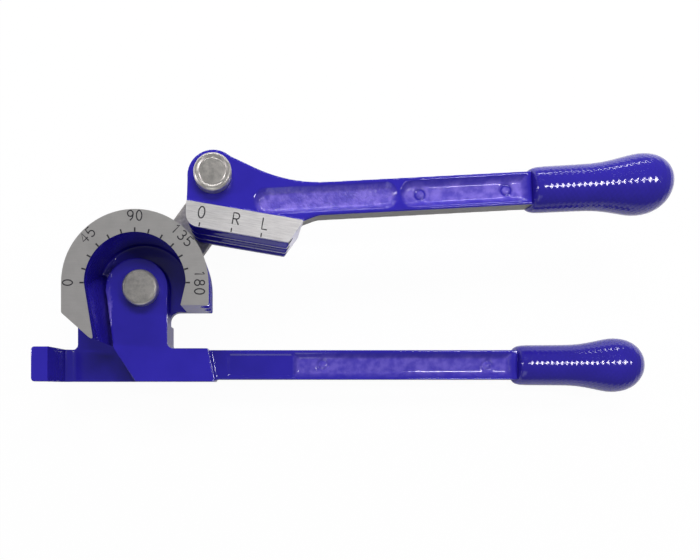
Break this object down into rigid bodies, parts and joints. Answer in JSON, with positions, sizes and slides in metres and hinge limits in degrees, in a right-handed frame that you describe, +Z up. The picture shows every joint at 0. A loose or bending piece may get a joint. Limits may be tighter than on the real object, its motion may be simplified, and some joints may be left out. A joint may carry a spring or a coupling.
{
  "type": "manual tube bender",
  "caption": "Two-handled lever bender: a grooved former wheel with a graduated ring and hook, and a forming shoe on a link that swings round it.",
  "frame": {"origin": "on the wheel pivot's axis, in the plane that the tool rests on", "axes": "+X along the handles, +Y from the former handle towards the shoe pin, +Z up through the graduated face, along both pivots"},
  "size_m": [0.3088, 0.1127, 0.062],
  "materials": {
    "former_enamel": "thick glossy violet-blue enamel over an aluminium casting, graduated ring left bare",
    "shoe_enamel": "thick glossy violet-blue enamel over an aluminium casting, marked strip left bare",
    "grip_vinyl": "dipped vinyl with a fine raised pattern",
    "link_steel": "mottled zinc-plated steel",
    "pin_steel": "dull plated steel, faced on a lathe",
    "zinc_steel": "bright zinc plate",
    "nylon": "natural nylon"
  },
  "bodies": {
    "former": {"former_handle": "former_enamel", "wheel_pivot_pin": "pin_steel", "wheel_pivot_spacer": "zinc_steel", "lower_grip": "grip_vinyl", "wheel_pivot_washer": "zinc_steel", "wheel_lock_nut": "zinc_steel", "wheel_nut_ring": "nylon"},
    "link": {"link_plate": "link_steel", "shoe_pivot_pin": "pin_steel", "shoe_pivot_washer": "zinc_steel", "shoe_lock_nut": "zinc_steel", "shoe_nut_ring": "nylon", "shoe_pivot_spacer": "zinc_steel"},
    "shoe": {"shoe_handle": "shoe_enamel", "upper_grip": "grip_vinyl"}
  },
  "joints": [
    {"name": "link_swing", "type": "hinge", "parent": "former", "child": "link", "pos_m": [0, 0, 0.0163], "axis": [0, 0, 1], "range_deg": [-54, 126]},
    {"name": "handle_pivot", "type": "hinge", "parent": "link", "child": "shoe", "pos_m": [0.03606, 0.04982, 0.036], "axis": [0, 0, 1], "range_deg": [-26, 90]}
  ]
}
